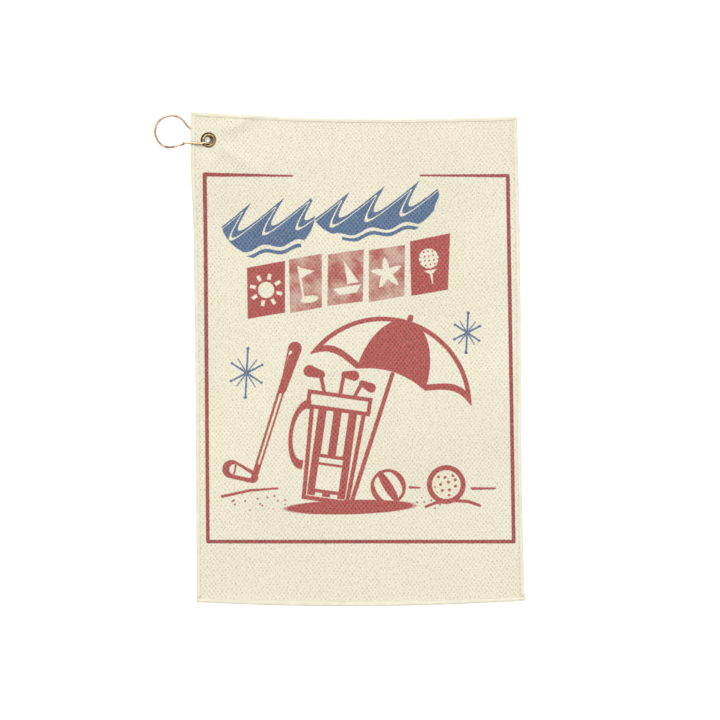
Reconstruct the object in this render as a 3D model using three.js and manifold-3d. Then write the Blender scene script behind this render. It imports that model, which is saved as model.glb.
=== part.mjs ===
// A waffle-weave golf towel lying face up, with a corner grommet and a sprung wire hook.
// Millimetres, +Z up. +X runs along the short side, +Y towards the grommet end.
import * as THREE from "three";
import { mergeVertices } from "three/addons/utils/BufferGeometryUtils.js";
import Module from "manifold-3d";

const wasm = await Module();
wasm.setup();

// Driving dimensions
const GAP = 0.3; // clearance between pieces that touch

const TOWEL_WIDTH = 406; // over the overlocked edges
const TOWEL_LENGTH = 607;
const CLOTH_THICKNESS = 1.6;
const HEM_CLOTH_THICKNESS = 1.2; // the cloth is squeezed inside the overlock

const THREAD_THICKNESS = 0.5; // how thick the overlock lies on each face of the cloth
const OVERLOCK_WIDTH = 4.9; // how far it reaches in over the cloth
const OVERLOCK_EDGE = 0.6; // how thick it is round the cut edge
const HEM_STEP = 1.6; // the cloth sinks from the hem to its own level over this distance

// Where the four corners lie, and how far each edge bows away from the line between them
const CORNERS = {
  topLeft: [-207.9, 307.5],
  topRight: [197.3, 302.5],
  bottomLeft: [-201.7, -302.5],
  bottomRight: [207.3, -300.7],
};
const END_BOW = -6; // both short edges sag towards -Y
const LEFT_BOW = 1.2;
const RIGHT_WAVE = 1.3;
const BOW_DECAY = 12; // the higher, the sooner a bow dies away from its edge

const GROMMET_POSITION = [-186.3, 272];
const GROMMET_RADIUS = 9.8;
const GROMMET_HOLE_RADIUS = 4.75;
const GROMMET_WALL = 0.5;
const GROMMET_HALF_HEIGHT = 2.2;
const GROMMET_BARREL_HALF = 0.2; // straight part of the barrel on each side of the cloth's middle
const GROMMET_CURL_RADIUS = 7.6; // how far the barrel is rolled out over the washer
const WASHER_HOLE_RADIUS = 6;
const WASHER_THICKNESS = 0.4;

const WIRE_RADIUS = 1.2;
const WIRE_CLEARANCE = 0.05; // between the hook and the table
const HOOK_DIRECTION = 166.6; // degrees from +X, as it lies
const LOOP_RADIUS = 20.2;
const LOOP_CENTRE = 47.9; // from the grommet's axis
const BEND_RADIUS = 4.6; // the bend that passes through the grommet
const BEND_CENTRE = 1.5;
const GATE_TIP = [30.6, 10.9];
const GATE_KNEE = [7.7, 6.6];
const GATE_GAP = 0.45; // where the springy arm meets the bend, so that it can turn inwards
const TAIL_LENGTH = 8.5;
const TAIL_RADIUS = 1.1;

// Heights that follow from them
const WIRE_REST = WIRE_CLEARANCE + WIRE_RADIUS; // of the wire's middle where it lies on the table
const HEM_THICKNESS = 2 * THREAD_THICKNESS + 2 * GAP + HEM_CLOTH_THICKNESS;
const LEG_OFFSET = GROMMET_HALF_HEIGHT + GAP + WIRE_RADIUS; // of each leg from the grommet's middle
const GROMMET_HEIGHT = WIRE_REST + LEG_OFFSET; // of the grommet's middle
const CORNER_LIFT = GROMMET_HEIGHT - CLOTH_THICKNESS / 2; // the hook holds the corner off the table
const FLAT_LIFT_RADIUS = 48; // round the grommet, where the corner is level
const LIFT_END_RADIUS = 122; // where the cloth reaches the table again
const GATE_HEIGHT = GROMMET_HEIGHT + LEG_OFFSET;

const COLOURS = {
  cloth: { color: 0xeee9d2, roughness: 0.95, metalness: 0 },
  thread: { color: 0xf7f2de, roughness: 0.9, metalness: 0 },
  brass: { color: 0x9a7a4a, roughness: 0.35, metalness: 1 },
  copper: { color: 0xc98d5c, roughness: 0.3, metalness: 1 },
};

function piece(name, geometry, finish) {
  geometry.computeVertexNormals();
  const mesh = new THREE.Mesh(geometry, new THREE.MeshStandardMaterial(COLOURS[finish]));
  mesh.name = name;
  return mesh;
}

function mergedByPosition(geometry) {
  const bare = geometry.clone();
  bare.deleteAttribute("normal");
  bare.deleteAttribute("uv");
  return mergeVertices(bare, 1e-4);
}

function solidFrom(geometry) {
  const merged = mergedByPosition(geometry);
  return new wasm.Manifold(
    new wasm.Mesh({
      numProp: 3,
      vertProperties: merged.attributes.position.array,
      triVerts: new Uint32Array(merged.index.array),
    }),
  );
}

function geometryFrom(solid) {
  const mesh = solid.getMesh();
  return new THREE.BufferGeometry()
    .setAttribute("position", new THREE.BufferAttribute(mesh.vertProperties, 3))
    .setIndex(new THREE.BufferAttribute(mesh.triVerts, 1));
}

// How the flat towel lies. (across, along) is a place on the flat towel, measured from its middle.
function laidPlace(across, along) {
  const u = across / TOWEL_WIDTH + 0.5;
  const v = along / TOWEL_LENGTH + 0.5;
  const mix = THREE.MathUtils.lerp;
  const corner = (axis) =>
    mix(
      mix(CORNERS.bottomLeft[axis], CORNERS.bottomRight[axis], u),
      mix(CORNERS.topLeft[axis], CORNERS.topRight[axis], u),
      v,
    );
  const nearTop = Math.max(v, 0) ** BOW_DECAY;
  const nearBottom = Math.max(1 - v, 0) ** BOW_DECAY;
  const nearRight = Math.max(u, 0) ** BOW_DECAY;
  const nearLeft = Math.max(1 - u, 0) ** BOW_DECAY;
  const endBow = END_BOW * 4 * u * (1 - u) * (nearTop + nearBottom);
  const leftBow = LEFT_BOW * 4 * v * (1 - v) * nearLeft;
  const rightWave = -RIGHT_WAVE * Math.sin(2 * Math.PI * v) * nearRight;
  return new THREE.Vector2(corner(0) + leftBow + rightWave, corner(1) + endBow);
}

function liftAt(place) {
  const distance = place.distanceTo(new THREE.Vector2(...GROMMET_POSITION));
  return CORNER_LIFT * (1 - THREE.MathUtils.smoothstep(distance, FLAT_LIFT_RADIUS, LIFT_END_RADIUS));
}

// Moves a flat piece's vertices to where they lie: x across, y along, z above the table
function lay(geometry) {
  const position = geometry.attributes.position;
  for (let i = 0; i < position.count; i++) {
    const place = laidPlace(position.getX(i), position.getY(i));
    position.setXYZ(i, place.x, place.y, position.getZ(i) + liftAt(place));
  }
  return geometry;
}

// Places along one side of the towel, closest together at its low end.
function stations(half, count, growth) {
  const reach = half - OVERLOCK_WIDTH - HEM_STEP - GAP - GAP;
  const share = (i) => (Math.exp((growth * i) / count) - 1) / (Math.exp(growth) - 1);
  return Array.from({ length: count + 1 }, (_, i) => -reach + 2 * reach * share(i));
}

const turnedRound = (places) => places.map((place) => -place).reverse();

// The grommet is at the left and the far end, so the places crowd together there
const ACROSS_STATIONS = stations(TOWEL_WIDTH / 2, 16, 2);
const ALONG_STATIONS = turnedRound(stations(TOWEL_LENGTH / 2, 22, 2.2));

function withEnds(places, half, ...insets) {
  const ends = insets.map((inset) => half - inset);
  return [...ends.map((end) => -end), ...places, ...ends.reverse()];
}

function towelCloth() {
  const inset = OVERLOCK_EDGE + GAP;
  const hemEnd = OVERLOCK_WIDTH + GAP + GAP;
  const across = withEnds(ACROSS_STATIONS, TOWEL_WIDTH / 2, inset, hemEnd);
  const along = withEnds(ALONG_STATIONS, TOWEL_LENGTH / 2, inset, hemEnd);
  const blank = new THREE.BoxGeometry(1, 1, 1, across.length - 1, along.length - 1, 1);
  const position = blank.attributes.position;
  for (let n = 0; n < position.count; n++) {
    const i = Math.round((position.getX(n) + 0.5) * (across.length - 1));
    const j = Math.round((position.getY(n) + 0.5) * (along.length - 1));
    const onHem = i < 2 || j < 2 || i > across.length - 3 || j > along.length - 3;
    const under = onHem ? THREAD_THICKNESS + GAP : 0;
    const over = under + (onHem ? HEM_CLOTH_THICKNESS : CLOTH_THICKNESS);
    position.setXYZ(n, across[i], along[j], position.getZ(n) > 0 ? over : under);
  }
  const barrelHole = new THREE.CylinderGeometry(
    GROMMET_HOLE_RADIUS + GROMMET_WALL + GAP,
    GROMMET_HOLE_RADIUS + GROMMET_WALL + GAP,
    4 * CLOTH_THICKNESS,
    32,
  )
    .rotateX(Math.PI / 2)
    .translate(...GROMMET_POSITION, GROMMET_HEIGHT);
  return geometryFrom(solidFrom(lay(blank)).subtract(solidFrom(barrelHole)));
}

// The overlock stitch along one edge: a thin channel of thread that wraps the cut edge.
function overlock(places, edgeOffset, turn) {
  const z1 = THREAD_THICKNESS;
  const z2 = HEM_THICKNESS - THREAD_THICKNESS;
  const section = new THREE.Shape([
    new THREE.Vector2(0, 0),
    new THREE.Vector2(OVERLOCK_WIDTH, 0),
    new THREE.Vector2(OVERLOCK_WIDTH, z1),
    new THREE.Vector2(OVERLOCK_EDGE, z1),
    new THREE.Vector2(OVERLOCK_EDGE, z2),
    new THREE.Vector2(OVERLOCK_WIDTH, z2),
    new THREE.Vector2(OVERLOCK_WIDTH, HEM_THICKNESS),
    new THREE.Vector2(0, HEM_THICKNESS),
  ]);
  const steps = places.length - 1;
  const strip = new THREE.ExtrudeGeometry(section, { depth: steps, steps, bevelEnabled: false });
  const position = strip.attributes.position;
  for (let n = 0; n < position.count; n++) {
    const inward = position.getX(n);
    const height = position.getY(n);
    const run = places[Math.round(position.getZ(n))];
    position.setXYZ(n, run, inward - edgeOffset, height);
  }
  return lay(strip.rotateZ(turn));
}

function wireAlong(points, steps) {
  const section = new THREE.Shape().absarc(0, 0, WIRE_RADIUS, 0, 2 * Math.PI);
  return new THREE.ExtrudeGeometry(section, {
    extrudePath: new THREE.CatmullRomCurve3(points, false, "centripetal"),
    steps,
    curveSegments: 5,
    bevelEnabled: false,
  });
}

function lathed(profile, segments) {
  const points = profile.map(([radius, height]) => new THREE.Vector2(radius, height));
  return new THREE.LatheGeometry(points, segments).rotateX(Math.PI / 2);
}

// A quarter of an ellipse in the (radius, height) plane, from one angle to another
function quarter([centreRadius, centreHeight], halfWidth, halfHeight, from, to, count = 5) {
  return Array.from({ length: count + 1 }, (_, i) => {
    const angle = THREE.MathUtils.degToRad(from + ((to - from) * i) / count);
    return [centreRadius + halfWidth * Math.cos(angle), centreHeight + halfHeight * Math.sin(angle)];
  });
}

// The grommet: a domed flange on the face, a barrel through the cloth, and the barrel's end
// rolled out over the washer. Heights are from the middle of the cloth.
function grommet() {
  const half = GROMMET_HALF_HEIGHT;
  const barrel = GROMMET_BARREL_HALF;
  const wall = GROMMET_WALL;
  const rim = CLOTH_THICKNESS / 2 + GAP;
  const crown = (GROMMET_RADIUS + GROMMET_HOLE_RADIUS) / 2;
  const domeWidth = GROMMET_RADIUS - crown;
  const curl = GROMMET_CURL_RADIUS - 1;
  const curlWidth = curl - GROMMET_HOLE_RADIUS;
  const underCurl = half - WASHER_THICKNESS;
  return lathed(
    [
      ...quarter([crown, rim], domeWidth, half - rim, 0, 90),
      ...quarter([crown, barrel], domeWidth, half - barrel, 90, 180).slice(1),
      ...quarter([curl, -barrel], curlWidth, half - barrel, 180, 270),
      [GROMMET_CURL_RADIUS, -half],
      [GROMMET_CURL_RADIUS, -underCurl],
      ...quarter([curl, -underCurl + 1.2], curlWidth - wall, 1.2, 270, 180),
      ...quarter([crown, rim - 0.5], domeWidth - wall, half - rim, 180, 90),
      [GROMMET_RADIUS - wall, rim],
      [GROMMET_RADIUS, rim],
    ],
    40,
  );
}

function grommetWasher() {
  const top = -(CLOTH_THICKNESS / 2 + GAP);
  const bottom = top - WASHER_THICKNESS;
  return lathed(
    [
      [WASHER_HOLE_RADIUS, bottom],
      [GROMMET_RADIUS - WASHER_THICKNESS, bottom],
      [GROMMET_RADIUS, bottom + WASHER_THICKNESS / 2],
      [GROMMET_RADIUS, top],
      [WASHER_HOLE_RADIUS, top],
      [WASHER_HOLE_RADIUS, bottom],
    ],
    40,
  );
}

// The hook is one bent wire. In its own frame the grommet's axis is at the origin, x runs
// along the hook, and y is positive on the side of the arm that lies over the face.
const GATE_START = BEND_CENTRE + GATE_GAP;

function hookWire() {
  const bend = Array.from({ length: 9 }, (_, i) => {
    const angle = (Math.PI * i) / 8;
    return new THREE.Vector3(
      BEND_CENTRE - BEND_RADIUS * Math.sin(angle),
      BEND_RADIUS * Math.cos(angle),
      GROMMET_HEIGHT + LEG_OFFSET * Math.cos(angle),
    );
  });
  const backLeg = [
    new THREE.Vector3(3.2, -4.7, WIRE_REST),
    new THREE.Vector3(5.5, -5.05, WIRE_REST),
    new THREE.Vector3(13.5, -6.8, WIRE_REST),
    new THREE.Vector3(25.3, -9.4, WIRE_REST),
    new THREE.Vector3(29.4, -11, WIRE_REST),
  ];
  // The loop lies on the table, then climbs to the height of the gate arm
  const loopStart = -135;
  const loopEnd = 130;
  const climbStart = 72;
  const climbEnd = 122;
  const loop = Array.from({ length: 22 }, (_, i) => {
    const angle = loopStart + ((loopEnd - loopStart) * i) / 21;
    const climb = THREE.MathUtils.smoothstep(angle, climbStart, climbEnd);
    return new THREE.Vector3(
      LOOP_CENTRE + LOOP_RADIUS * Math.cos(THREE.MathUtils.degToRad(angle)),
      LOOP_RADIUS * Math.sin(THREE.MathUtils.degToRad(angle)),
      THREE.MathUtils.lerp(WIRE_REST, GATE_HEIGHT, climb),
    );
  });
  // Its end comes alongside the gate arm and bends up over it
  const catchEnd = [
    new THREE.Vector3(31.6, 14.05, GATE_HEIGHT + 0.1),
    new THREE.Vector3(29.3, 13.2, GATE_HEIGHT + 0.9),
    new THREE.Vector3(27.8, 11.7, GATE_HEIGHT + 2.35),
    new THREE.Vector3(27.1, 10.2, GATE_HEIGHT + 2.75),
  ];
  return wireAlong([...bend, ...backLeg, ...loop, ...catchEnd], 110);
}

function gateArm() {
  return wireAlong(
    [
      new THREE.Vector3(GATE_START, BEND_RADIUS, GATE_HEIGHT),
      new THREE.Vector3(GATE_START + 1.5, BEND_RADIUS + 0.15, GATE_HEIGHT),
      new THREE.Vector3(...GATE_KNEE, GATE_HEIGHT),
      new THREE.Vector3(GATE_KNEE[0] + 3, GATE_KNEE[1] + 0.56, GATE_HEIGHT),
      new THREE.Vector3(...GATE_TIP, GATE_HEIGHT),
    ],
    18,
  );
}

// A short end of the overlock's thread chain, turned back along the right-hand edge
function threadTail(along) {
  const straight = TAIL_LENGTH / 2 - TAIL_RADIUS;
  const end = laidPlace(TOWEL_WIDTH / 2 + GAP + TAIL_RADIUS, along);
  return lathed(
    [
      ...quarter([0, -straight], TAIL_RADIUS, TAIL_RADIUS, -90, 0, 4),
      ...quarter([0, straight], TAIL_RADIUS, TAIL_RADIUS, 0, 90, 4),
    ],
    8,
  )
    .rotateX(Math.PI / 2)
    .translate(end.x, end.y, HEM_THICKNESS / 2);
}

const towel = new THREE.Group();
towel.add(piece("towel_cloth", towelCloth(), "cloth"));

const acrossEdge = withEnds(ACROSS_STATIONS, TOWEL_WIDTH / 2, 0);
const sideInset = OVERLOCK_WIDTH + GAP;
const alongEdge = withEnds(ALONG_STATIONS, TOWEL_LENGTH / 2, sideInset);
const EDGES = [
  ["overlock_bottom", acrossEdge, TOWEL_LENGTH / 2, 0],
  ["overlock_right", alongEdge, TOWEL_WIDTH / 2, Math.PI / 2],
  ["overlock_top", turnedRound(acrossEdge), TOWEL_LENGTH / 2, Math.PI],
  ["overlock_left", turnedRound(alongEdge), TOWEL_WIDTH / 2, -Math.PI / 2],
];
for (const [name, places, edgeOffset, turn] of EDGES) {
  towel.add(piece(name, overlock(places, edgeOffset, turn), "thread"));
}

const tailFromEnd = TAIL_LENGTH / 2 + 0.5;
towel.add(piece("thread_tail_top_right", threadTail(TOWEL_LENGTH / 2 - tailFromEnd), "thread"));
towel.add(piece("thread_tail_bottom_right", threadTail(tailFromEnd - TOWEL_LENGTH / 2), "thread"));

const eyelet = new THREE.Group();
eyelet.position.set(...GROMMET_POSITION, GROMMET_HEIGHT);
eyelet.add(piece("grommet", grommet(), "brass"), piece("grommet_washer", grommetWasher(), "brass"));
towel.add(eyelet);

const hook = new THREE.Group();
hook.position.set(...GROMMET_POSITION, 0);
hook.rotation.z = THREE.MathUtils.degToRad(HOOK_DIRECTION);
hook.add(piece("hook_wire", hookWire(), "copper"), piece("hook_gate_arm", gateArm(), "copper"));

// The origin is under the middle of the whole object, on the table
const laid = new THREE.Group();
laid.add(towel, hook);
const bounds = new THREE.Box3().setFromObject(laid, true);
const middle = bounds.getCenter(new THREE.Vector3());
laid.position.set(-middle.x, -middle.y, -bounds.min.z);

const golfTowel = new THREE.Group();
golfTowel.add(laid);

export default golfTowel;
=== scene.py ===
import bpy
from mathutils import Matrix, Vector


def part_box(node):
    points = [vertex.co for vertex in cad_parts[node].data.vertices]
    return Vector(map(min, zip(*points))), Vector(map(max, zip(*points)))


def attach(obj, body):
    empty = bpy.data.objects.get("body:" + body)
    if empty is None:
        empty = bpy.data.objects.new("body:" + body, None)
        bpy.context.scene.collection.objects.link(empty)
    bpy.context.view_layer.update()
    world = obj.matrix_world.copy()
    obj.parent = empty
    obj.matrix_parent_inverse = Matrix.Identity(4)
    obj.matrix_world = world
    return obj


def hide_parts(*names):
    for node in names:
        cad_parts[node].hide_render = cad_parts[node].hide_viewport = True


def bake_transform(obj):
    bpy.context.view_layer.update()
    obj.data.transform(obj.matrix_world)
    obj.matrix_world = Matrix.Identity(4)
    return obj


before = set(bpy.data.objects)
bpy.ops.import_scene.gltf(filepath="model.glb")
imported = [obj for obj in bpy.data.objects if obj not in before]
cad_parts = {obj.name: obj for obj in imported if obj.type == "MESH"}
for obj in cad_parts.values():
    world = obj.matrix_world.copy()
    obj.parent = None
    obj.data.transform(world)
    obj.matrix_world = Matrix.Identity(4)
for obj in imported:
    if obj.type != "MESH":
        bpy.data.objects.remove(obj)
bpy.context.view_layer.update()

import math
import random

import bmesh
import bpy
from mathutils import Matrix, Vector, noise

# Everything is drawn in millimetres about the towel's middle, then scaled and moved into the row frame
mm = 0.001

towel = {
    "width": 406,
    "length": 607,
    "thickness": 1.6,
    "cellsAcross": 79,  # a cell of the weave has a pit at its middle and at its corners
    "cellsAlong": 92,
    "pitDepth": 0.5,
    "cutEdge": 0.9,  # the cloth stops this far inside the overlock
    "hemTop": 2.0,  # the heights of its two faces at the cut edge
    "hemBottom": 0.8,
    "hemFrom": 4.2,  # it thickens again between these distances from that edge
    "hemTo": 8.0,
    "holeRadius": 5.7,
    "fineRadius": 8.2,  # the cells round the hole are smaller
    "smoothRadius": 12,  # and there are no pits under the grommet
    "corners": {
        "topLeft": (-207.9, 307.5),
        "topRight": (197.3, 302.5),
        "bottomLeft": (-201.7, -302.5),
        "bottomRight": (207.3, -300.7),
    },
    "endBow": -6,
    "leftBow": 1.2,
    "rightWave": 1.3,
    "bowDecay": 12,  # how soon the edges' curves die away inwards
    "hookBulge": 2.0,  # the left edge swells out where the wire lies under it
    "bulgeAt": 235,
    "bulgeHalf": 52,
    "bulgeDecay": 30,
    "cornerLift": 4.15,
    "liftStart": 48,  # from the grommet
    "liftEnd": 122,
    "ripple": 0.55,
    "rippleSpan": 85,
}

# Each fold runs away from the grommet at its own angle
folds = [
    {"angle": 27, "height": 4.6, "halfWidth": 9, "start": 12, "full": 34, "end": 150, "bend": 7},
    {"angle": -30, "height": 2.6, "halfWidth": 8, "start": 12, "full": 28, "end": 95, "bend": -6},
    {"angle": -98, "height": 2.8, "halfWidth": 8, "start": 14, "full": 34, "end": 110, "bend": 5},
]
grommetPlace = Vector((-186.3, 272.0))

scene = bpy.context.scene
lowest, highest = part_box("grommet")
grommetMiddle = (lowest + highest) / 2
towelMiddle = Vector((grommetMiddle.x - grommetPlace.x * mm, grommetMiddle.y - grommetPlace.y * mm, 0))


def smoothStep(value, start, end):
    share = min(max((value - start) / (end - start), 0), 1)
    return share * share * (3 - 2 * share)


def lerp(a, b, share):
    return a + (b - a) * share


# Where a point of the flat towel lies, seen from above
def laidPlace(across, along):
    u = across / towel["width"] + 0.5
    v = along / towel["length"] + 0.5
    corners = towel["corners"]
    x, y = (
        lerp(
            lerp(corners["bottomLeft"][axis], corners["bottomRight"][axis], u),
            lerp(corners["topLeft"][axis], corners["topRight"][axis], u),
            v,
        )
        for axis in (0, 1)
    )
    decay = towel["bowDecay"]
    nearLeft = max(1 - u, 0)
    y += towel["endBow"] * 4 * u * (1 - u) * (max(v, 0) ** decay + max(1 - v, 0) ** decay)
    x += towel["leftBow"] * 4 * v * (1 - v) * nearLeft**decay
    fromBulge = (along - towel["bulgeAt"]) / towel["bulgeHalf"]
    x -= towel["hookBulge"] * math.exp(-(fromBulge**2)) * nearLeft ** towel["bulgeDecay"]
    x -= towel["rightWave"] * math.sin(2 * math.pi * v) * max(u, 0) ** decay
    return Vector((x, y))


# The hook under the cloth lifts the corner, and the rest lies a little uneven
def liftAt(place):
    away = place - grommetPlace
    lift = towel["cornerLift"] * (1 - smoothStep(away.length, towel["liftStart"], towel["liftEnd"]))
    for fold in folds:
        run, aside = Matrix.Rotation(-math.radians(fold["angle"]), 2) @ away
        bend = fold["bend"] * (run / 100) ** 2
        crown = math.exp(-(((aside - bend) / fold["halfWidth"]) ** 2))
        rise = smoothStep(run, fold["start"], fold["full"])
        fall = 1 - smoothStep(run, fold["full"], fold["end"])
        lift += fold["height"] * crown * (rise * fall)
    span = towel["rippleSpan"]
    ripple = noise.noise(Vector((place.x / span, place.y / span, 3.1))) * 0.5 + 0.5
    return lift + towel["ripple"] * ripple


def lay(bm):
    for vert in bm.verts:
        place = laidPlace(vert.co.x, vert.co.y)
        vert.co = (place.x, place.y, vert.co.z + liftAt(place))


# Scales a finished shape into the row frame and makes it an object
def makePiece(name, bm, materials, node, body=None):
    bmesh.ops.scale(bm, vec=(mm, mm, mm), verts=bm.verts)
    bmesh.ops.translate(bm, vec=towelMiddle, verts=bm.verts)
    mesh = bpy.data.meshes.new(name)
    bm.to_mesh(mesh)
    bm.free()
    mesh.shade_smooth()
    for material in materials:
        mesh.materials.append(material)
    obj = bpy.data.objects.new(name, mesh)
    scene.collection.objects.link(obj)
    if body:
        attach(obj, body)
    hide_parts(node)
    print(f"{name}: {len(mesh.loops) - 2 * len(mesh.polygons)} triangles")
    return obj


# A round wire or thread along a line of points, with a radius at each
def sweepAlong(points, radii, resolution, bm=None):
    curve = bpy.data.curves.new("sweep", "CURVE")
    curve.dimensions = "3D"
    curve.bevel_depth = 1
    curve.bevel_resolution = resolution
    curve.use_fill_caps = True
    spline = curve.splines.new("POLY")
    spline.points.add(len(points) - 1)
    for target, point, radius in zip(spline.points, points, radii):
        target.co = (*point, 1)
        target.radius = radius
    carrier = bpy.data.objects.new("sweep", curve)
    scene.collection.objects.link(carrier)
    shape = bpy.data.meshes.new_from_object(carrier.evaluated_get(bpy.context.evaluated_depsgraph_get()))
    bm = bm or bmesh.new()
    bm.from_mesh(shape)
    bpy.data.objects.remove(carrier)
    bpy.data.curves.remove(curve)
    bpy.data.meshes.remove(shape)
    return bm


# A smooth line through points, as the hook's wire is bent
def throughPoints(points, perSpan):
    ends = [2 * points[0] - points[1], *points, 2 * points[-1] - points[-2]]
    line = []
    for before, a, b, after in zip(ends, ends[1:], ends[2:], ends[3:]):
        first, middle, last = (math.sqrt((q - p).length) for p, q in ((before, a), (a, b), (b, after)))
        leave = ((a - before) / first - (b - before) / (first + middle) + (b - a) / middle) * middle
        arrive = ((b - a) / middle - (after - a) / (middle + last) + (after - b) / last) * middle
        for step in range(perSpan):
            t = step / perSpan
            line.append(
                a * (2 * t**3 - 3 * t**2 + 1)
                + leave * (t**3 - 2 * t**2 + t)
                + b * (3 * t**2 - 2 * t**3)
                + arrive * (t**3 - t**2)
            )
    return [*line, points[-1]]


class Signal:
    # one socket of a material, so that maths on it reads as plain expressions
    def __init__(self, tree, socket=None):
        self.tree = tree
        self.socket = socket

    def add(self, kind, settings, inputs, output=0):
        node = self.tree.nodes.new(kind)
        for name, value in settings.items():
            setattr(node, name, value)
        for name, value in inputs.items():
            if isinstance(value, Signal):
                self.tree.links.new(value.socket, node.inputs[name])
            else:
                node.inputs[name].default_value = value
        return Signal(self.tree, node.outputs[output])

    def maths(self, operation, *values, clamp=False):
        settings = {"operation": operation, "use_clamp": clamp}
        return self.add("ShaderNodeMath", settings, dict(enumerate(values)))

    def vectors(self, operation, *values, output=0):
        return self.add("ShaderNodeVectorMath", {"operation": operation}, dict(enumerate(values)), output)

    def __add__(self, other):
        return self.maths("ADD", self, other)

    __radd__ = __add__

    def __sub__(self, other):
        return self.maths("SUBTRACT", self, other)

    def __rsub__(self, other):
        return self.maths("SUBTRACT", other, self)

    def __mul__(self, other):
        return self.maths("MULTIPLY", self, other)

    __rmul__ = __mul__

    def __truediv__(self, other):
        return self.maths("DIVIDE", self, other)

    def __rtruediv__(self, other):
        return self.maths("DIVIDE", other, self)

    def __neg__(self):
        return self.maths("MULTIPLY", self, -1)

    def __abs__(self):
        return self.maths("ABSOLUTE", self)

    def __or__(self, other):  # the lower of two, so either of two areas
        return self.maths("MINIMUM", self, other)

    def __and__(self, other):  # the higher of two, so both areas, or either of two masks
        return self.maths("MAXIMUM", self, other)

    def within(self, low, high, start=0, end=1):
        inputs = {"Value": self, "From Min": low, "From Max": high, "To Min": start, "To Max": end}
        return self.add("ShaderNodeMapRange", {"interpolation_type": "SMOOTHSTEP"}, inputs)

    def wave(self):
        return self.maths("SINE", self)

    def root(self):
        return self.maths("SQRT", self)

    def split(self):
        parts = self.tree.nodes.new("ShaderNodeSeparateXYZ")
        self.tree.links.new(self.socket, parts.inputs[0])
        return Signal(self.tree, parts.outputs[0]), Signal(self.tree, parts.outputs[1])


def startMaterial(name):
    material = bpy.data.materials.new(name)
    material.use_nodes = True
    material.node_tree.nodes.clear()
    return material, Signal(material.node_tree)


def mixColours(factor, a, b):
    start = next(value for value in (factor, a, b) if isinstance(value, Signal))
    values = {0: factor, 6: a, 7: b}
    colours = {key: (*value, 1) if isinstance(value, tuple) else value for key, value in values.items()}
    return start.add("ShaderNodeMix", {"data_type": "RGBA"}, colours, 2)


# Cloudy noise, flat where the pattern lies on a UV map
def mottle(place, scale, detail=2, roughness=0.5, flat=False, output=0):
    settings = {"noise_dimensions": "2D" if flat else "3D"}
    inputs = {"Vector": place, "Scale": scale, "Detail": detail, "Roughness": roughness}
    return place.add("ShaderNodeTexNoise", settings, inputs, output)


# A place moved about by the colours of a noise, to all sides alike
def shaken(place, colours, reach):
    shifted = colours.vectors("MULTIPLY_ADD", colours, (reach, reach, 0), place)
    return shifted.vectors("SUBTRACT", shifted, (reach / 2, reach / 2, 0))


def showSurface(start, inputs):
    surface = start.add("ShaderNodeBsdfPrincipled", {}, inputs)
    output = start.tree.nodes.new("ShaderNodeOutputMaterial")
    start.tree.links.new(surface.socket, output.inputs["Surface"])


def finishMaterial(start, settings, colour, roughness, height, strength, distance):
    normal = start.add("ShaderNodeBump", {}, {"Height": height, "Strength": strength, "Distance": distance})
    inputs = {"Base Color": colour, "Roughness": roughness, "Normal": normal, **settings}
    showSurface(start, inputs)


# The print is drawn as areas: each is a distance in millimetres, below nought inside its outline
def disc(place, x, y, radius):
    return place.vectors("DISTANCE", place, (x, y, 0), output=1) - radius


def ring(place, x, y, radius, halfWidth):
    return abs(disc(place, x, y, radius)) - halfWidth


def beside(place, start, end):
    # below nought on the right of a line that runs from start to end
    run = Vector(end) - Vector(start)
    normal = Vector((-run.y, run.x)).normalized()
    return place.vectors("DOT_PRODUCT", place, (*normal, 0), output=1) - normal.dot(Vector(start))


def polygon(place, points):
    # a flat-sided shape whose corners go clockwise
    area = None
    for start, end in zip(points, [*points[1:], points[0]]):
        side = beside(place, start, end)
        area = side if area is None else area & side
    return area


def stroke(place, start, end, startRadius, endRadius=None):
    endRadius = startRadius if endRadius is None else endRadius
    run = Vector(end) - Vector(start)
    direction = run / run.length_squared
    along = place.vectors("DOT_PRODUCT", place, (*direction, 0), output=1)
    share = along.maths("SUBTRACT", along, direction.dot(Vector(start)), clamp=True)
    nearest = place.add("ShaderNodeVectorMath", {"operation": "SCALE"}, {0: (*run, 0), 3: share})
    offset = place.vectors("SUBTRACT", place, nearest)
    distance = place.vectors("DISTANCE", offset, (*start, 0), output=1)
    if startRadius == endRadius:
        return distance - startRadius
    return distance - share.maths("MULTIPLY_ADD", share, endRadius - startRadius, startRadius)


def strokes(place, lines):
    area = stroke(place, *lines[0])
    for line in lines[1:]:
        area = area | stroke(place, *line)
    return area


def turned(place, x, y, degrees):
    inputs = {0: place, 1: (x, y, 0), 2: (0, 0, math.radians(degrees))}
    return place.add("ShaderNodeMapping", {"vector_type": "TEXTURE"}, inputs)


def moved(place, x, y):
    return place.vectors("SUBTRACT", place, (x, y, 0))


def folded(place):
    return place.vectors("ABSOLUTE", place)


def block(place, halfWidth, halfHeight):
    x, y = place.vectors("SUBTRACT", folded(place), (halfWidth, halfHeight, 0)).split()
    return x & y


def repeated(value, period):
    return value.maths("FLOORED_MODULO", value, period) - period / 2


# The distance to the nearest of many scattered spots
def spotted(place, spacing, randomness):
    settings = {"voronoi_dimensions": "2D"}
    inputs = {"Vector": place, "Scale": 1 / spacing, "Randomness": randomness}
    return place.add("ShaderNodeTexVoronoi", settings, inputs) * spacing


def inked(area):
    # an area as a mask, with the soft edge that ink has on cloth
    return area.maths("MULTIPLY_ADD", area, -1 / design["softEdge"], 0.5, clamp=True)


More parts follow.
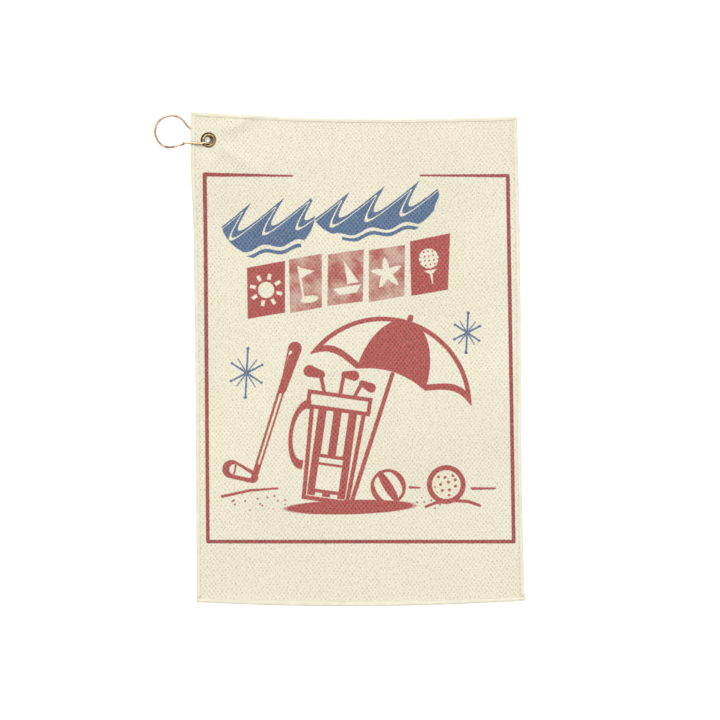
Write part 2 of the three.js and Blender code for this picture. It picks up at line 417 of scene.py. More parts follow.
design = {
    "red": (0.482, 0.088, 0.081),
    # the dark inks are mixed in by painted shade in the pits, random flecks and the frame's denser lines
    "redDark": (0.140, 0.011, 0.011),
    "blue": (0.102, 0.178, 0.316),
    "blueDark": (0.016, 0.040, 0.098),
    "softEdge": 1.0,
    # a line is its start, its end and its half width at each
    "frameLines": [
        ((-190.9, 229.0), (-187.4, -227.2), 2.6, 2.3),
        ((185.8, 228.0), (193.1, -227.2), 2.4, 2.4),
        ((-187.4, -227.2), (193.1, -227.2), 2.3, 2.3),
        ((-190.9, 229.0), (-82.8, 227.8), 2.6, 1.2),
        ((185.8, 228.0), (77.1, 228.4), 2.2, 1.1),
    ],
    "tiles": [
        ((-138.8, 113.5), (-91.4, 122.3), (-91.4, 57.9), (-137.9, 49.7)),
        ((-86.7, 123.6), (-45.6, 131.0), (-45.6, 64.2), (-85.0, 57.0)),
        ((-38.0, 130.0), (6.7, 136.5), (5.4, 71.6), (-38.7, 66.1)),
        ((12.9, 135.5), (57.9, 141.9), (57.1, 78.4), (12.9, 70.7)),
        ((64.0, 146.4), (114.0, 156.5), (111.3, 86.2), (65.6, 78.4)),
    ],
    "freshTiles": (0, 4),  # the others are worn
    "tileTurn": 9,
    "iconShrink": 0.9,  # below one makes the signs in the tiles larger
    "umbrella": {"x": 40.8, "y": -23.5, "turn": -17.74, "halfSpan": 104.3, "rise": 74, "panel": 0.43},
    "bag": {"x": -32, "y": -110, "turn": -8},
    "beachBall": {"x": 37, "y": -159, "radius": 22, "turn": 32, "panels": (0.26, 0.7)},
    "club": {
        "shaft": ((-83, 2), (-128, -142), 4.6, 3.9),
        "shaftGleam": ((-97, -44), (-124, -130), 1.4, 1.1),
        "grip": ((-79, 13), (-94, -38), 8.6, 4.4),
        "gripGleam": ((-84.5, 9), (-92, -18), 1.6, 0.9),
        "head": ((-132, -147), (-158, -137), 7.5, 11.5),
        "face": ((-136, -145), (-154, -137.5), 3, 6.6),
        "groove": ((-152, -129), (-155, -144), 1.2),
    },
    "ball": {"x": 109.2, "y": -156.2, "radius": 21, "halfLine": 3.2, "turn": 14},
    "dimples": {"spacing": 8.4, "radius": 1.9, "randomness": 0.45, "reach": 15},
    "sparkles": [(135.2, 32.7, 26.7), (-139.1, -17.4, 32.4)],
    "shadow": {"x": -10.6, "y": -184.3, "halfWidth": 81.5, "halfHeight": 9, "turn": 1.5},
    "groundLines": [
        ((-169.4, -171.0), (-135, -163.5), 1.9, 1.7),
        ((-135, -163.5), (-100.5, -161.0), 1.7, 1.3),
        ((64, -159.6), (76, -160.2), 1.7, 1.1),
        ((141.4, -161.2), (169.7, -161.0), 1.8, 1.3),
        ((83.9, -183.6), (97, -178.6), 1.8, 2.0),
        ((97, -178.6), (121, -176.2), 2.0, 2.1),
        ((121, -176.2), (137, -177.4), 2.1, 2.1),
        ((137, -177.4), (150.8, -182.3), 2.1, 1.9),
    ],
    "sand": {"spacing": 11, "radius": 1.25, "randomness": 0.95},
    "sandPatches": [(-128, -178, 11, 0.28), (84, -180, 8, 0.3)],  # x, y, half height, squeeze
}


waves = [
    {"x": -113, "y": 178, "period": 42, "rise": 17, "halfWidth": 59, "deep": 51, "shift": 0},
    {"x": 21, "y": 195, "period": 44, "rise": 16, "halfWidth": 80, "deep": 45, "shift": 8},
]
water = {
    "lean": 1.25,
    "crest": 1.15,  # in rises
    "hollow": 1.9,
    "lineDrop": 9,  # a pale line follows the crests this far down
    "lineHalf": 1.5,
    "lineTop": 0.55,
    "swell": 3,
    "floor": 0.74,  # in the oval's half depths
    "ripple": 0.88,
    "rippleSwell": 2.6,
    "rippleHalf": 2.4,
    "rippleSpan": 0.6,
}


def waveArea(p, group):
    # sharp crests lean forward over a body of water that is drawn in parallel lines, inside an oval
    place = turned(p, group["x"], group["y"], design["tileTurn"])
    u, v = place.split()
    period, rise, half, deep = group["period"], group["rise"], group["halfWidth"], group["deep"]
    phase = (u - v * water["lean"] + group["shift"]) * (math.pi / period)
    surface = v - (water["crest"] - abs(phase.wave()) * water["hollow"]) * rise
    lines = (abs(surface + water["lineDrop"]) - water["lineHalf"]) & (v - rise * water["lineTop"])
    oval = place.vectors("MULTIPLY", place, (deep / half, 1, 1))
    oval = disc(oval, 0, 0, deep)
    swell = (u * (2 * math.pi / period)).wave()
    body = surface & -lines & oval & -(v + swell * water["swell"] + deep * water["floor"])
    ripple = abs(v + swell * water["rippleSwell"] + deep * water["ripple"]) - water["rippleHalf"]
    return body | (ripple & (oval - 3) & (abs(u) - half * water["rippleSpan"]))


def sunIcon(place):
    x, y = place.split()
    angle = x.maths("ARCTAN2", y, x)
    rays = abs(repeated(angle, math.pi / 4))
    reach = place.vectors("LENGTH", place, output=1)
    ray = (rays * reach - 1.9) & (abs(reach - 15.2) - 3.2)
    return (reach - 9) | ray


def flagIcon(place):
    pole = stroke(place, (-5, -19), (-5, 19), 1.3)
    flag = polygon(place, [(-5, 19), (12, 12.5), (-5, 6)])
    squashed = place.vectors("MULTIPLY", place, (0.4, 1, 1))
    return pole | flag | disc(squashed, 0.5, -18, 4)


def boatIcon(place):
    sail = polygon(place, [(1, 19), (14, -7), (1, -7)])
    jib = polygon(place, [(-2, 14), (-2, -7), (-13, -7)][::-1])
    hull = polygon(place, [(-16, -10), (16, -10), (10, -18), (-10, -18)])
    return sail | jib | hull


def starIcon(place):
    x, y = place.split()
    angle = x.maths("ARCTAN2", x, y)
    point = abs(repeated(angle + math.pi / 5, 2 * math.pi / 5))
    reach = place.vectors("LENGTH", place, output=1)
    return reach - (18.5 - (point * 2.3).wave() * 12)


def teeIcon(place):
    ball = disc(place, 0, 7.5, 11)
    dimples = spotted(place, 5, 0.15)
    tee = polygon(place, [(-7, -5.5), (7, -5.5), (1.6, -10), (-1.6, -10)])
    return (ball & (1.0 - dimples)) | tee | stroke(place, (0, -9), (0, -21), 1.5, 0.5)


def tileAreas(p):
    icons = [sunIcon, flagIcon, boatIcon, starIcon, teeIcon]
    fresh = worn = None
    for number, (points, icon) in enumerate(zip(design["tiles"], icons)):
        x, y = (sum(point[axis] for point in points) / 4 for axis in (0, 1))
        place = turned(p, x, y, design["tileTurn"])
        sign = icon(place.vectors("MULTIPLY", place, (design["iconShrink"],) * 3))
        area = polygon(p, points) & -sign
        if number in design["freshTiles"]:
            fresh = area if fresh is None else fresh | area
        else:
            worn = area if worn is None else worn | area
    return fresh, worn


def umbrellaArea(p):
    umbrella = design["umbrella"]
    span, rise = umbrella["halfSpan"], umbrella["rise"]
    place = turned(p, umbrella["x"], umbrella["y"], umbrella["turn"])
    u, v = place.split()
    radius = (span**2 + rise**2) / (2 * rise)
    dome = disc(place, 0, rise - radius, radius)
    # the lower edge has three arches, and the middle one is the widest
    share = u / span
    arch = abs((share * (share * share * 0.28 + 0.72) * (math.pi * 1.5) + math.pi / 2).wave())
    hem = v - (arch * 10 - 2)
    canopy = dome & -hem
    # the ribs draw together towards the top
    level = v / (rise + 1)
    rib = abs(u) / (1 - level * level).root()
    outline = abs(canopy + 2.4) - 2.9
    filled = canopy & ((rib - span * umbrella["panel"]) | (hem - 8))
    pole = stroke(place, (0, 5), (0, -164), 2.7) & hem
    return outline | filled | pole | stroke(place, (0, rise), (0, rise + 5), 3.6)


def bagArea(p):
    # a golf bag stands in the umbrella's shade
    bag = design["bag"]
    place = turned(p, bag["x"], bag["y"], bag["turn"])
    u = place.split()[0]
    body = polygon(place, [(-33, 58), (33, 58), (27, -66), (-27, -66)]) - 2
    collar = block(moved(place, 0, 56), 36, 7) - 2
    stripes = abs(repeated(u + 9.5, 19)) - 5.2
    pocket = block(moved(place, 0, -34), 15, 20) - 2
    flap = block(moved(place, 0, -22), 16, 0.3) - 1.4
    area = (abs(body + 1.9) - 2.7) | ((body + 5.5) & stripes)
    area = (area & -(pocket - 1.5)) | (abs(pocket) - 2.3) | flap
    area = (area & -(collar - 1)) | (abs(collar) - 2.6)
    clubs = strokes(place, [
        ((-20, 66), (-27, 86), 2.4),
        ((0, 66), (1, 90), 2.4),
        ((18, 66), (24, 82), 2.4),
        ((-27, 88), (-42, 90), 5, 7.5),
        ((2, 92), (14, 92), 4, 6.5),
        ((25, 84), (37, 80), 4, 6),
    ])
    strap = ring(place.vectors("MULTIPLY", place, (1, 0.45, 1)), -37, 5, 17, 2.6) & (u + 34)
    return area | clubs | strap


def beachBallArea(p):
    ball = design["beachBall"]
    place = turned(p, ball["x"], ball["y"], ball["turn"])
    u, v = place.split()
    radius = ball["radius"]
    level = v / (radius + 0.5)
    gore = abs(u) / (1 - level * level).root()
    edge = disc(place, 0, 0, radius)
    middle, outer = ball["panels"]
    panels = (gore - radius * middle) | (radius * outer - gore)
    return (edge & panels) | (abs(edge + 1.8) - 1.9) | disc(place, 0, radius * 0.82, 4.5)


def clubArea(p):
    part = {name: stroke(p, *line) for name, line in design["club"].items()}
    shaft = part["shaft"] & -part["shaftGleam"]
    grip = part["grip"] & -part["gripGleam"]
    head = part["head"] & -part["face"]
    return shaft | grip | head | (part["groove"] & part["face"])


def ballArea(p):
    ball, dimples = design["ball"], design["dimples"]
    place = turned(p, ball["x"], ball["y"], ball["turn"])
    spots = spotted(place, dimples["spacing"], dimples["randomness"]) - dimples["radius"]
    outline = ring(p, ball["x"], ball["y"], ball["radius"], ball["halfLine"])
    return outline | (spots & disc(place, 0, 0, dimples["reach"]))


def sparkleArea(p, x, y, size):
    place = folded(turned(p, x, y, -3))
    tip = (size * 0.58, size * 0.34)
    rays = strokes(place, [
        ((0, 0), (0, size - 2), 1.2),
        ((0, 0), tip, 1.4, 1.0),
        ((0, 0), (size * 0.36, size * 0.52), 0.9, 0.7),
    ])
    return rays | disc(place, 0, size - 2, 2.1) | disc(place, *tip, 1.7)


def groundArea(p):
    shadow, sand = design["shadow"], design["sand"]
    place = turned(p, shadow["x"], shadow["y"], shadow["turn"])
    squashed = place.vectors("MULTIPLY", place, (shadow["halfHeight"] / shadow["halfWidth"], 1, 1))
    area = disc(squashed, 0, 0, shadow["halfHeight"]) | strokes(p, design["groundLines"])
    grains = spotted(p, sand["spacing"], sand["randomness"]) - sand["radius"]
    for x, y, halfHeight, squeeze in design["sandPatches"]:
        patch = disc(p.vectors("MULTIPLY", p, (squeeze, 1, 1)), x * squeeze, y, halfHeight)
        area = area | (grains & patch)
    return area


fabric = {
    "cream": (0.842, 0.795, 0.632),
    # the dark colours are mixed in by painted shade in the pits and by random tone
    "creamDark": (0.530, 0.490, 0.365),
    "back": (0.86, 0.845, 0.760),
    "backDark": (0.7396, 0.7267, 0.6536),
    "roughness": 0.88,
    "sheen": 0.25,
    "bumpStrength": 0.6,
    "bumpDepth": 0.0004,
    "wander": 0.6,  # of the yarns, in cells
    "wanderScale": 170,
    "fleckScale": 300,
    "fuzzScale": 1100,
    "driftScale": 5,
    "yarnsAcross": 6,  # in a cell
    "yarnsAlong": 7,
    "edgeWander": 1.0,  # of the print's edges
    "edgeScale": 320,
    "wear": 0.45,  # of the ink in the worn tiles
    "wearScale": 26,
    "bare": 0.2,  # the most that the cloth shows through the ink
    "lineShade": 0.22,  # the frame's thin lines are a little darker
}


def readWeave(start):
    # the pits lie in a brick pattern, as the mesh has them, and the yarns wander a little
    flat = start.add("ShaderNodeUVMap", {"uv_map": "cloth"}, {})
    even = flat.vectors("MULTIPLY", flat, (towel["width"] / towel["length"], 1, 1))
    wander = mottle(even, fabric["wanderScale"], flat=True, output=1)
    cells = flat.vectors("MULTIPLY", flat, (towel["cellsAcross"], towel["cellsAlong"], 1))
    x, y = shaken(cells, wander, fabric["wander"]).split()
    cycle = 2 * math.pi
    lattice = (x * cycle + math.pi / 2).wave() * (y * cycle + math.pi / 2).wave()
    fleck = mottle(even, fabric["fleckScale"], 3, 0.65, flat=True)
    # fine yarns run both ways over the pits
    yarns = (x * (cycle * fabric["yarnsAcross"])).wave() * (y * (cycle * fabric["yarnsAlong"])).wave()
    fuzz = mottle(even, fabric["fuzzScale"], 3, 0.65, flat=True)
    height = fuzz * 0.5 + yarns * 0.12 - lattice * 0.8
    # painted shade: how dark each pit is painted, varied by the flecks
    paintedPitShade = lattice.within(-0.3, 0.95) * (fleck.within(0.33, 0.67) * 1.15 + 0.2)
    return even, height, paintedPitShade, fleck


def printOver(start, cloth, even, paintedPitShade, fleck):
    flat = start.add("ShaderNodeUVMap", {"uv_map": "print"}, {})
    size = (towel["width"], towel["length"], 0)
    place = flat.vectors("MULTIPLY_ADD", flat, size, (-size[0] / 2, -size[1] / 2, 0))
    # the print's edges wander a little over the weave
    wander = mottle(even, fabric["edgeScale"], 1, flat=True, output=1)
    p = shaken(place, wander, fabric["edgeWander"])
    cloud = mottle(even, fabric["wearScale"], 4, 0.6, flat=True)
    line = inked(strokes(p, design["frameLines"]))
    fresh, worn = tileAreas(p)
    thinned = inked(worn) * (1 - cloud.within(0.3, 0.7, 0.12, 1) * fabric["wear"])
    red = line & inked(fresh) & thinned
    for area in (umbrellaArea, bagArea, beachBallArea, clubArea, ballArea, groundArea):
        red = red & inked(area(p))
    blue = inked(waveArea(p, waves[0])) & inked(waveArea(p, waves[1]))
    for sparkle in design["sparkles"]:
        blue = blue & inked(sparkleArea(p, *sparkle))
    cover = 1 - fleck.within(0.45, 0.72) * fabric["bare"]
    # painted shade in the pits darkens the ink, with random flecks, and the frame's thin lines hold darker
    # ink
    shade = paintedPitShade * 0.85 + fleck.within(0.35, 0.65) * 0.2 + line * fabric["lineShade"]
    colour = mixColours(red * cover, cloth, mixColours(shade, design["red"], design["redDark"]))
    return mixColours(blue * cover, colour, mixColours(shade, design["blue"], design["blueDark"]))


def clothMaterial(name, printed):
    material, start = startMaterial(name)
    even, height, paintedPitShade, fleck = readWeave(start)
    # a slow drift of tone lies over the whole cloth
    drift = mottle(even, fabric["driftScale"], flat=True)
    # painted shade in the pits, with random flecks and a slow drift of tone, mixes the cloth towards its dark
    # colour
    shade = paintedPitShade * 0.6 + fleck.within(0.35, 0.7) * 0.24 + (drift - 0.5) * 0.3
    if printed:
        cream = mixColours(shade, fabric["cream"], fabric["creamDark"])
        colour = printOver(start, cream, even, paintedPitShade, fleck)
    else:
        colour = mixColours(shade, fabric["back"], fabric["backDark"])
    settings = {"Sheen Weight": fabric["sheen"], "Sheen Roughness": 0.5}
    roughness = fleck.within(0.2, 0.8, fabric["roughness"] - 0.06, fabric["roughness"] + 0.06)
    finishMaterial(start, settings, colour, roughness, height, fabric["bumpStrength"], fabric["bumpDepth"])
    return material


thread = {"colour": (0.895, 0.862, 0.715), "shade": (0.805, 0.768, 0.607), "roughness": 0.7}


def threadMaterial():
    material, start = startMaterial("overlockThread")
    place = start.add("ShaderNodeTexCoord", {}, {}, 3)
    ply = start.add(
        "ShaderNodeTexWave",
        {"wave_type": "BANDS", "bands_direction": "DIAGONAL"},
        {"Vector": place, "Scale": 900, "Distortion": 3, "Detail": 1},
        1,
    )
    fibre = mottle(place, 2400, 3)
    drift = mottle(place, 90)
    tone = (fibre * 0.5 + drift * 0.5).within(0.3, 0.72)
    colour = mixColours(tone, thread["colour"], thread["shade"])
    settings = {"Sheen Weight": 0.3, "Sheen Roughness": 0.4}
    roughness = fibre.within(0.2, 0.8, thread["roughness"] - 0.08, thread["roughness"] + 0.1)
    finishMaterial(start, settings, colour, roughness, ply + fibre * 0.6, 0.5, 0.00012)
    return material


brass = {
    "bright": (0.74, 0.57, 0.32),
    "worn": (0.46, 0.31, 0.14),
    # the dark coat's colour: patina, with painted dark reflection and shade
    "patinaAndDarkReflection": (0.024, 0.014, 0.007),
    "roughness": 0.22,
    # radii in millimetres between which each zone comes or goes
    "lipEnd": (5.2, 5.9),
    "crownStart": (5.4, 6.2),
    "crownEnd": (6.8, 7.4),
    "hollowStart": (7.0, 7.8),
    "hollowEnd": (9.1, 9.4),
}


def brassMaterial(name, patinaAndDarkReflection):
    material, start = startMaterial(name)
    place = start.add("ShaderNodeTexCoord", {}, {}, 3)
    centred = place.vectors("SUBTRACT", place, (*grommetMiddle.xy, 0))
    flat = centred.vectors("MULTIPLY", centred, (1, 1, 0))
    radius = flat.vectors("LENGTH", flat, output=1) / mm
    cloud = mottle(place, 420, 5, 0.6)
    speck = mottle(place, 2600)
    # a dark coat, partly patina and partly painted dark reflection and shade, is deep in the flange's outer
    # hollow and inside the hole, and thin on the worn rim and crown; the painted reflection is heavier on the
    # hollow's upper-left and the crown's lower-right
    across, along = flat.split()
    # painted reflection: this side factor makes the coat darker where dark surroundings are reflected
    darkReflectionSide = ((along * 0.6 - across * 0.8) / mm / radius).within(-0.4, 0.7)
    hollow = radius.within(*brass["hollowStart"]) * (1 - radius.within(*brass["hollowEnd"]) * 0.85)
    hollow = hollow * (0.7 + darkReflectionSide * 0.3)
    lip = (1 - radius.within(*brass["lipEnd"])) * 0.75
    crown = radius.within(*brass["crownStart"]) * (1 - radius.within(*brass["crownEnd"]))
    # the dark coat's share: patina with painted dark reflection and shade
    patinaAndReflectionShare = ((hollow & lip) + crown * (1 - darkReflectionSide) * 0.62) * patinaAndDarkReflection + cloud.within(0.5, 0.8) * 0.3
    patinaAndReflectionShare = patinaAndReflectionShare | 1
    metal = mixColours(cloud.within(0.35, 0.65), brass["bright"], brass["worn"])
    colour = mixColours(patinaAndReflectionShare, metal, brass["patinaAndDarkReflection"])
    roughness = patinaAndReflectionShare * 0.3 + speck.within(0.3, 0.7, brass["roughness"] - 0.06, brass["roughness"] + 0.08)
    finishMaterial(start, {"Metallic": 1.0}, colour, roughness, cloud + speck * 0.4, 0.12, 0.0001)
    return material


copper = {
    "bright": (0.76, 0.51, 0.31),
    "dull": (0.54, 0.31, 0.17),
    # the side colour is painted shade, the dark reflection put into the colour of the wire's sides
    "side": (0.17, 0.075, 0.033),
    "roughness": 0.33,
}


def copperMaterial():
    material, start = startMaterial("copperWire")
    place = start.add("ShaderNodeTexCoord", {}, {}, 3)
    cloud = mottle(place, 130, 4, 0.6)
    grain = mottle(place, 3200)
    # painted shade: the wire is coloured bright along its top and dark down its sides, where it reflects dark
    # surroundings
    upward = start.add("ShaderNodeAttribute", {"attribute_name": "upward"}, {}, 2)
    side = 1 - upward.within(0.4, 0.98)
    colour = mixColours(cloud.within(0.4, 0.7), copper["bright"], copper["dull"])
    # painted shade: the sides are mixed towards the dark side colour
    colour = mixColours(side * 0.9, colour, copper["side"])
    roughness = grain.within(0.3, 0.7, copper["roughness"] - 0.05, copper["roughness"] + 0.08)
    finishMaterial(start, {"Metallic": 1.0}, colour, roughness, grain + cloud, 0.05, 0.00004)
    return material


studio = {
    "cameraHeight": 2.49,
    "lens": 100,
    "sensor": 36,
    "aim": (1.87, -1.245),  # millimetres from the towel's middle
    "floorHalf": 30,
    "floorTone": 0.93,
    "glow": 0.3,  # of the floor, so that it stays white under the towel's soft shadow
    "world": 0.25,
    "lights": {
        "overhead": {"power": 86, "size": (5, 5), "place": (0.02, 0, 3.6), "target": (0.02, 0, 0)},
        "key": {"power": 360, "size": (2.4, 2.4), "place": (-1.5, 5.4, 6.0), "target": (0, 0, 0)},
        "fill": {"power": 32, "size": (1.4, 1.8), "place": (3.4, -1.2, 1.9), "target": (0, 0, 0)},
    },
}


def addLight(name, power, size, place, target):
    light = bpy.data.lights.new(name, "AREA")
    light.energy = power
    light.shape = "RECTANGLE"
    light.size, light.size_y = size
    obj = bpy.data.objects.new(name, light)
    obj.location = place
    obj.rotation_euler = (Vector(target) - Vector(place)).to_track_quat("-Z", "Y").to_euler()
    obj.visible_camera = False
    scene.collection.objects.link(obj)


def makeStudio():
    camera = bpy.data.objects.new("camera", bpy.data.cameras.new("camera"))
    camera.data.lens = studio["lens"]
    camera.data.sensor_width = studio["sensor"]
    camera.data.dof.use_dof = False
    aim = towelMiddle + Vector((*studio["aim"], 0)) * mm
    camera.location = (aim.x, aim.y, studio["cameraHeight"])
    camera.data.clip_start = 0.01
    camera.data.clip_end = 100
    scene.collection.objects.link(camera)
    scene.camera = camera

    bm = bmesh.new()
    bmesh.ops.create_grid(bm, x_segments=1, y_segments=1, size=studio["floorHalf"])
    mesh = bpy.data.meshes.new("floor")
    bm.to_mesh(mesh)
    bm.free()
    floor = bpy.data.objects.new("floor", mesh)
    scene.collection.objects.link(floor)
    material, start = startMaterial("floor")
    showSurface(start, {
        "Base Color": (*[studio["floorTone"]] * 3, 1),
        "Roughness": 0.9,
        "Emission Color": (1, 1, 1, 1),
        "Emission Strength": studio["glow"],
    })
    mesh.materials.append(material)

    world = bpy.data.worlds.new("studio")
    world.use_nodes = True
    sky = world.node_tree.nodes["Background"]
    sky.inputs["Color"].default_value = (1, 1, 1, 1)
    sky.inputs["Strength"].default_value = studio["world"]
    scene.world = world
    scene.view_settings.view_transform = "Standard"
    for name, light in studio["lights"].items():
        addLight(name, **light)
    print("studio ready")


def fromGrommet(co):
    return laidPlace(co.x, co.y) - grommetPlace


def unwrapped(angle, reference):
    while angle - reference > math.pi:
        angle -= 2 * math.pi
    while angle - reference < -math.pi:
        angle += 2 * math.pi
    return angle


def makeTowel():
    width = towel["width"] - 2 * towel["cutEdge"]
    length = towel["length"] - 2 * towel["cutEdge"]
    across, along = 2 * towel["cellsAcross"], 2 * towel["cellsAlong"]
    bm = bmesh.new()
    bmesh.ops.create_grid(bm, x_segments=across, y_segments=along, size=0.5)
    bmesh.ops.scale(bm, vec=(width, length, 1), verts=bm.verts)
    # finer cells round the grommet, with a round hole for its barrel
    fine = towel["fineRadius"]
    near = [face for face in bm.faces if fromGrommet(face.calc_center_median()).length < fine]
    edges = list({edge for face in near for edge in face.edges})
    bmesh.ops.subdivide_edges(bm, edges=edges, cuts=2, use_grid_fill=True)
    hole = towel["holeRadius"]
    inside = [vert for vert in bm.verts if fromGrommet(vert.co).length < hole]
    bmesh.ops.delete(bm, geom=inside, context="VERTS")
    for vert in bm.verts:
        away = fromGrommet(vert.co)
        if vert.is_boundary and away.length < towel["smoothRadius"]:
            step = away.normalized() * hole - away
            vert.co.x += step.x
            vert.co.y += step.y
    bm.normal_update()
    bmesh.ops.solidify(bm, geom=list(bm.faces), thickness=towel["thickness"])
    bottom = min(vert.co.z for vert in bm.verts)
    bmesh.ops.translate(bm, vec=(0, 0, -bottom), verts=bm.verts)
    bm.normal_update()

    # every second crossing on the face is a pit, and the back has its pits under the face's ridges
    middle = towel["thickness"] / 2
    ridges = []
    pits = []
    for vert in bm.verts:
        column = round((vert.co.x / width + 0.5) * across)
        row = round((vert.co.y / length + 0.5) * along)
        onFace = vert.co.z > middle
        isEdge = any(abs(face.normal.z) < 0.5 for face in vert.link_faces)
        if fromGrommet(vert.co).length > towel["smoothRadius"] and not isEdge:
            isPit = (column + row) % 2 == (0 if onFace else 1)
            (pits if isPit else ridges).append((vert, onFace))
    bmesh.ops.connect_verts(bm, verts=[vert for vert, onFace in ridges])
    for vert, onFace in pits:
        vert.co.z += -towel["pitDepth"] if onFace else towel["pitDepth"]

    # the face, the back and the rims each have their own part of the bake map
    cloth = bm.loops.layers.uv.new("cloth")
    printed = bm.loops.layers.uv.new("print")
    bake = bm.loops.layers.uv.new("OFBake")
    for face in bm.faces:
        centre = face.calc_center_median()
        isRim = abs(face.normal.z) < 0.3
        isFace = centre.z > middle and not isRim
        face.material_index = 0 if isFace else 1
        byHole = fromGrommet(centre).length < towel["smoothRadius"]
        for loop in face.loops:
            co = loop.vert.co
            u = co.x / width + 0.5
            v = co.y / length + 0.5
            loop[cloth].uv = (u, v)
            place = laidPlace(co.x, co.y)
            loop[printed].uv = (place.x / towel["width"] + 0.5, place.y / towel["length"] + 0.5)
            if isRim:
                away, reference = (fromGrommet(co), fromGrommet(centre)) if byHole else (co, centre)
                spread = unwrapped(math.atan2(away.y, away.x), math.atan2(reference.y, reference.x))
                share = spread / (2 * math.pi) + 0.5
                loop[bake].uv = ((0.675 if byHole else 0.69) + 0.006 * (co.z > middle), 0.02 + 0.96 * share)
            elif isFace:
                loop[bake].uv = (0.01 + 0.65 * u, 0.01 + 0.98 * v)
            else:
                loop[bake].uv = (0.71 + 0.28 * (1 - u), 0.01 + 0.98 * v)

    # lay it down: thinner and raised where the overlock holds it
    for vert in bm.verts:
        reach = min(width / 2 - abs(vert.co.x), length / 2 - abs(vert.co.y))
        hem = 1 - smoothStep(reach, towel["hemFrom"], towel["hemTo"])
        level = vert.co.z / towel["thickness"]
        vert.co.z = lerp(vert.co.z, lerp(towel["hemBottom"], towel["hemTop"], level), hem)
    lay(bm)
    materials = [clothMaterial("printedWaffle", True), clothMaterial("waffleBack", False)]
    return makePiece("towelCloth", bm, materials, "towel_cloth", "towel")


overlock = {
    "width": 4.9,
    "pitch": 2.55,
    "threadRadius": 0.33,
    "needleRadius": 0.26,
    "top": 2.28,
    "bottom": 0.42,
    "seed": 11,
    "endInset": 0.4,  # the runs at the two ends go out to the corners
    "sideInset": 5.3,  # and those on the long sides stop before them
    "coreStep": 4,
    # the section of the core that wraps the cut edge: inward, height
    "core": [
        (5.0, 1.75), (4.6, 2.2), (3.2, 2.36), (1.6, 2.34), (0.75, 2.1), (0.42, 1.4),
        (0.75, 0.7), (1.6, 0.46), (3.2, 0.44), (4.6, 0.6), (5.0, 1.05),
    ],
}


# A point of the overlock: run is the distance along its side, inward from the towel's outline
def onSide(side, run, inward, height):
    halfWidth, halfLength = towel["width"] / 2, towel["length"] / 2
    across, along = {
        "top": (run, halfLength - inward),
        "bottom": (-run, -halfLength + inward),
        "right": (halfWidth - inward, -run),
        "left": (-halfWidth + inward, run),
    }[side]
    place = laidPlace(across, along)
    return Vector((place.x, place.y, height + liftAt(place)))


def makeOverlock(side, material):
    rng = random.Random(f"{overlock['seed']}{side}")
    if side in ("top", "bottom"):
        endRun = towel["width"] / 2 - overlock["endInset"]
    else:
        endRun = towel["length"] / 2 - overlock["sideInset"]
    startRun = -endRun
    section = overlock["core"]
    steps = round((endRun - startRun) / overlock["coreStep"])
    bm = bmesh.new()
    bmesh.ops.create_grid(bm, x_segments=steps, y_segments=len(section), size=0.5)
    for vert in bm.verts:
        station = round((vert.co.x + 0.5) * steps)
        inward, height = section[round((vert.co.y + 0.5) * len(section)) % len(section)]
        vert.co = onSide(side, lerp(startRun, endRun, station / steps), inward, height)
    bmesh.ops.remove_doubles(bm, verts=bm.verts, dist=0.0001)
    bmesh.ops.holes_fill(bm, edges=[edge for edge in bm.edges if edge.is_boundary], sides=0)
    bmesh.ops.recalc_face_normals(bm, faces=bm.faces)

    # the loopers' thread goes over the edge and back, and the needle's thread holds it down
    pitch = overlock["pitch"]
    count = round((endRun - startRun - 1) / pitch)
    pitch = (endRun - startRun - 1) / count
    width, high, low = overlock["width"], overlock["top"], overlock["bottom"]
    upper, lower = (high + low) / 2 + 0.45, (high + low) / 2 - 0.45
    looper = []
    needle = []
    for stitch in range(count):
        run = startRun + 0.5 + stitch * pitch
        slack = rng.uniform(-0.12, 0.12)
        top = high + rng.uniform(-0.04, 0.05)
        reach = width + rng.uniform(-0.25, 0.2)
        route = [
            (0, reach, top - 0.12),
            (0.10, width * 0.62, top + 0.12),
            (0.22 + slack * 0.3, width * 0.28, top + 0.1),
            (0.33 + slack * 0.5, 0.35, upper),
            (0.36, 0.33, lower),
            (0.42, width * 0.4, low - 0.05),
            (0.50, reach - 0.3, low + 0.06),
            (0.58, width * 0.4, low - 0.05),
            (0.64, 0.33, lower),
            (0.67 + slack * 0.5, 0.35, upper),
            (0.78 + slack * 0.3, width * 0.28, top + 0.1),
            (0.90, width * 0.62, top + 0.12),
        ]
        hold = [(0, width + 0.05, 1.9), (0.2, width + 0.1, high + 0.12), (0.8, width + 0.1, high + 0.12)]
        for line, places in ((looper, route), (needle, hold)):
            line.extend(onSide(side, run + pitch * share, *place) for share, *place in places)
    sweepAlong(looper, [overlock["threadRadius"]] * len(looper), 0, bm)
    sweepAlong(needle, [overlock["needleRadius"]] * len(needle), 0, bm)
    name, node = f"overlock{side.capitalize()}", f"overlock_{side}"
    return makePiece(name, bm, [material], node, "towel")


tail = {
    "plies": 3,
    "plyRadius": 0.42,
    "halfLength": 3.9,
    "turns": 1.7,
    "out": 1.42,  # past the towel's outline
    "height": 1.4,
    "spread": 0.42,
    "looseSpread": 0.5,
    "steps": 18,
    "fromEnd": 4.75,
}


